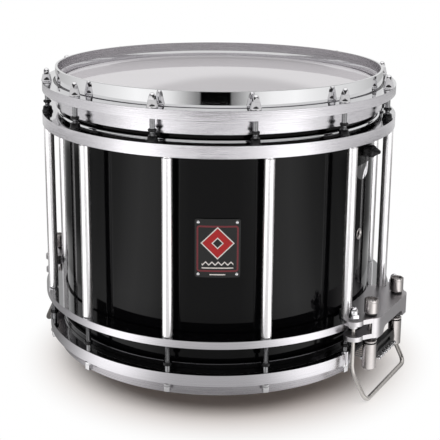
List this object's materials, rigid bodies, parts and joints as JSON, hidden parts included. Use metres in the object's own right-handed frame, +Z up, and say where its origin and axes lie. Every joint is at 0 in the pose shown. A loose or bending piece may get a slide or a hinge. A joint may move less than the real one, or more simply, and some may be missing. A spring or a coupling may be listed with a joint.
{
  "type": "marching snare drum",
  "caption": "Free-floating marching snare drum: black shell in a cage of tube posts and rings, cast hoops, tuning rods, snares under both heads, and side brackets with wire bails.",
  "frame": {"origin": "on the floor, under the drum's centre line", "axes": "+X through the right snare bracket and along the snares, +Y to the rear, +Z up the drum's axis"},
  "size_m": [0.444, 0.402, 0.3393],
  "materials": {
    "shell_gloss": "piano gloss",
    "head_film": "smooth translucent film",
    "hoop_cast": "fine brushed and polished",
    "post_tube": "polished tube",
    "rod_steel": "polished",
    "bracket_cast": "satin casting",
    "bridge_black": "satin black",
    "knob_satin": "satin, knurled",
    "bail_wire": "drawn wire",
    "snare_wire": "drawn strand",
    "badge_enamel": "gloss enamel",
    "chrome_trim": "polished",
    "knob_black": "moulded"
  },
  "bodies": {
    "root": {"shell": "shell_gloss", "batter_head": "head_film", "snare_head": "head_film", "batter_hoop": "hoop_cast", "snare_hoop": "hoop_cast", "top_ring": "hoop_cast", "bottom_ring": "hoop_cast", "post_01": "post_tube", "post_02": "post_tube", "post_03": "post_tube", "post_04": "post_tube", "post_05": "post_tube", "post_06": "post_tube", "post_07": "post_tube", "post_08": "post_tube", "post_09": "post_tube", "post_10": "post_tube", "post_11": "post_tube", "post_12": "post_tube", "snare_bracket_right": "bracket_cast", "snare_bracket_left": "bracket_cast", "bail_right": "bail_wire", "bail_left": "bail_wire", "badge": "badge_enamel", "vent_grommet": "chrome_trim", "upper_snare_housing": "chrome_trim", "upper_snare_strands": "snare_wire", "upper_snare_rest": "bracket_cast"},
    "top_rod_01": {"top_rod_01": "rod_steel"},
    "top_rod_02": {"top_rod_02": "rod_steel"},
    "top_rod_03": {"top_rod_03": "rod_steel"},
    "top_rod_04": {"top_rod_04": "rod_steel"},
    "top_rod_05": {"top_rod_05": "rod_steel"},
    "top_rod_06": {"top_rod_06": "rod_steel"},
    "top_rod_07": {"top_rod_07": "rod_steel"},
    "top_rod_08": {"top_rod_08": "rod_steel"},
    "top_rod_09": {"top_rod_09": "rod_steel"},
    "top_rod_10": {"top_rod_10": "rod_steel"},
    "top_rod_11": {"top_rod_11": "rod_steel"},
    "top_rod_12": {"top_rod_12": "rod_steel"},
    "low_rod_01": {"low_rod_01": "rod_steel"},
    "low_rod_02": {"low_rod_02": "rod_steel"},
    "low_rod_03": {"low_rod_03": "rod_steel"},
    "low_rod_04": {"low_rod_04": "rod_steel"},
    "low_rod_05": {"low_rod_05": "rod_steel"},
    "low_rod_06": {"low_rod_06": "rod_steel"},
    "low_rod_07": {"low_rod_07": "rod_steel"},
    "low_rod_08": {"low_rod_08": "rod_steel"},
    "low_rod_09": {"low_rod_09": "rod_steel"},
    "low_rod_10": {"low_rod_10": "rod_steel"},
    "low_rod_11": {"low_rod_11": "rod_steel"},
    "low_rod_12": {"low_rod_12": "rod_steel"},
    "height_knob_right_front": {"height_knob_right_front": "knob_satin"},
    "height_knob_right_rear": {"height_knob_right_rear": "knob_satin"},
    "height_knob_left_front": {"height_knob_left_front": "knob_satin"},
    "height_knob_left_rear": {"height_knob_left_rear": "knob_satin"},
    "snare_unit": {"snare_bridge_right": "bridge_black", "snare_bridge_left": "bridge_black", "snare_strands": "snare_wire"},
    "upper_snare_knob": {"upper_snare_knob": "knob_black"}
  },
  "joints": [
    {"name": "top_rod_01_turn", "type": "hinge", "parent": "root", "child": "top_rod_01", "pos_m": [0.19069, 0.03569, 0.31], "axis": [0, 0, 1], "range_deg": [-45, 720]},
    {"name": "top_rod_02_turn", "type": "hinge", "parent": "root", "child": "top_rod_02", "pos_m": [0.1473, 0.12625, 0.31], "axis": [0, 0, 1], "range_deg": [-45, 720]},
    {"name": "top_rod_03_turn", "type": "hinge", "parent": "root", "child": "top_rod_03", "pos_m": [0.06444, 0.18299, 0.31], "axis": [0, 0, 1], "range_deg": [-45, 720]},
    {"name": "top_rod_04_turn", "type": "hinge", "parent": "root", "child": "top_rod_04", "pos_m": [-0.03569, 0.19069, 0.31], "axis": [0, 0, 1], "range_deg": [-45, 720]},
    {"name": "top_rod_05_turn", "type": "hinge", "parent": "root", "child": "top_rod_05", "pos_m": [-0.12625, 0.1473, 0.31], "axis": [0, 0, 1], "range_deg": [-45, 720]},
    {"name": "top_rod_06_turn", "type": "hinge", "parent": "root", "child": "top_rod_06", "pos_m": [-0.18299, 0.06444, 0.31], "axis": [0, 0, 1], "range_deg": [-45, 720]},
    {"name": "top_rod_07_turn", "type": "hinge", "parent": "root", "child": "top_rod_07", "pos_m": [-0.19069, -0.03569, 0.31], "axis": [0, 0, 1], "range_deg": [-45, 720]},
    {"name": "top_rod_08_turn", "type": "hinge", "parent": "root", "child": "top_rod_08", "pos_m": [-0.1473, -0.12625, 0.31], "axis": [0, 0, 1], "range_deg": [-45, 720]},
    {"name": "top_rod_09_turn", "type": "hinge", "parent": "root", "child": "top_rod_09", "pos_m": [-0.06444, -0.18299, 0.31], "axis": [0, 0, 1], "range_deg": [-45, 720]},
    {"name": "top_rod_10_turn", "type": "hinge", "parent": "root", "child": "top_rod_10", "pos_m": [0.03569, -0.19069, 0.31], "axis": [0, 0, 1], "range_deg": [-45, 720]},
    {"name": "top_rod_11_turn", "type": "hinge", "parent": "root", "child": "top_rod_11", "pos_m": [0.12625, -0.1473, 0.31], "axis": [0, 0, 1], "range_deg": [-45, 720]},
    {"name": "top_rod_12_turn", "type": "hinge", "parent": "root", "child": "top_rod_12", "pos_m": [0.18299, -0.06444, 0.31], "axis": [0, 0, 1], "range_deg": [-45, 720]},
    {"name": "low_rod_01_turn", "type": "hinge", "parent": "root", "child": "low_rod_01", "pos_m": [0.18739, 0.05021, 0.045], "axis": [0, 0, 1], "range_deg": [-45, 720]},
    {"name": "low_rod_02_turn", "type": "hinge", "parent": "root", "child": "low_rod_02", "pos_m": [0.13718, 0.13718, 0.045], "axis": [0, 0, 1], "range_deg": [-45, 720]},
    {"name": "low_rod_03_turn", "type": "hinge", "parent": "root", "child": "low_rod_03", "pos_m": [0.05021, 0.18739, 0.045], "axis": [0, 0, 1], "range_deg": [-45, 720]},
    {"name": "low_rod_04_turn", "type": "hinge", "parent": "root", "child": "low_rod_04", "pos_m": [-0.05021, 0.18739, 0.045], "axis": [0, 0, 1], "range_deg": [-45, 720]},
    {"name": "low_rod_05_turn", "type": "hinge", "parent": "root", "child": "low_rod_05", "pos_m": [-0.13718, 0.13718, 0.045], "axis": [0, 0, 1], "range_deg": [-45, 720]},
    {"name": "low_rod_06_turn", "type": "hinge", "parent": "root", "child": "low_rod_06", "pos_m": [-0.18739, 0.05021, 0.045], "axis": [0, 0, 1], "range_deg": [-45, 720]},
    {"name": "low_rod_07_turn", "type": "hinge", "parent": "root", "child": "low_rod_07", "pos_m": [-0.18739, -0.05021, 0.045], "axis": [0, 0, 1], "range_deg": [-45, 720]},
    {"name": "low_rod_08_turn", "type": "hinge", "parent": "root", "child": "low_rod_08", "pos_m": [-0.13718, -0.13718, 0.045], "axis": [0, 0, 1], "range_deg": [-45, 720]},
    {"name": "low_rod_09_turn", "type": "hinge", "parent": "root", "child": "low_rod_09", "pos_m": [-0.05021, -0.18739, 0.045], "axis": [0, 0, 1], "range_deg": [-45, 720]},
    {"name": "low_rod_10_turn", "type": "hinge", "parent": "root", "child": "low_rod_10", "pos_m": [0.05021, -0.18739, 0.045], "axis": [0, 0, 1], "range_deg": [-45, 720]},
    {"name": "low_rod_11_turn", "type": "hinge", "parent": "root", "child": "low_rod_11", "pos_m": [0.13718, -0.13718, 0.045], "axis": [0, 0, 1], "range_deg": [-45, 720]},
    {"name": "low_rod_12_turn", "type": "hinge", "parent": "root", "child": "low_rod_12", "pos_m": [0.18739, -0.05021, 0.045], "axis": [0, 0, 1], "range_deg": [-45, 720]},
    {"name": "height_knob_right_front_turn", "type": "hinge", "parent": "root", "child": "height_knob_right_front", "pos_m": [0.2105, -0.03771, 0.1], "axis": [0, 0, 1], "range_deg": [0, 720]},
    {"name": "height_knob_right_rear_turn", "type": "hinge", "parent": "root", "child": "height_knob_right_rear", "pos_m": [0.2105, 0.03771, 0.1], "axis": [0, 0, 1], "range_deg": [0, 720]},
    {"name": "height_knob_left_front_turn", "type": "hinge", "parent": "root", "child": "height_knob_left_front", "pos_m": [-0.2105, -0.03771, 0.1], "axis": [0, 0, 1], "range_deg": [0, 720]},
    {"name": "height_knob_left_rear_turn", "type": "hinge", "parent": "root", "child": "height_knob_left_rear", "pos_m": [-0.2105, 0.03771, 0.1], "axis": [0, 0, 1], "range_deg": [0, 720]},
    {"name": "snare_height", "type": "slide", "parent": "root", "child": "snare_unit", "axis": [0, 0, -1], "range_m": [0, 0.003]},
    {"name": "upper_snare_knob_turn", "type": "hinge", "parent": "root", "child": "upper_snare_knob", "pos_m": [0.19, 0, 0.2607], "axis": [1, 0, 0], "range_deg": [0, 720]}
  ],
  "couplings": [
    {"joint": "height_knob_right_front_turn", "follows": "snare_height", "rad_per_m": 4188.8},
    {"joint": "height_knob_right_rear_turn", "follows": "snare_height", "rad_per_m": 4188.8},
    {"joint": "height_knob_left_front_turn", "follows": "snare_height", "rad_per_m": 4188.8},
    {"joint": "height_knob_left_rear_turn", "follows": "snare_height", "rad_per_m": 4188.8}
  ]
}
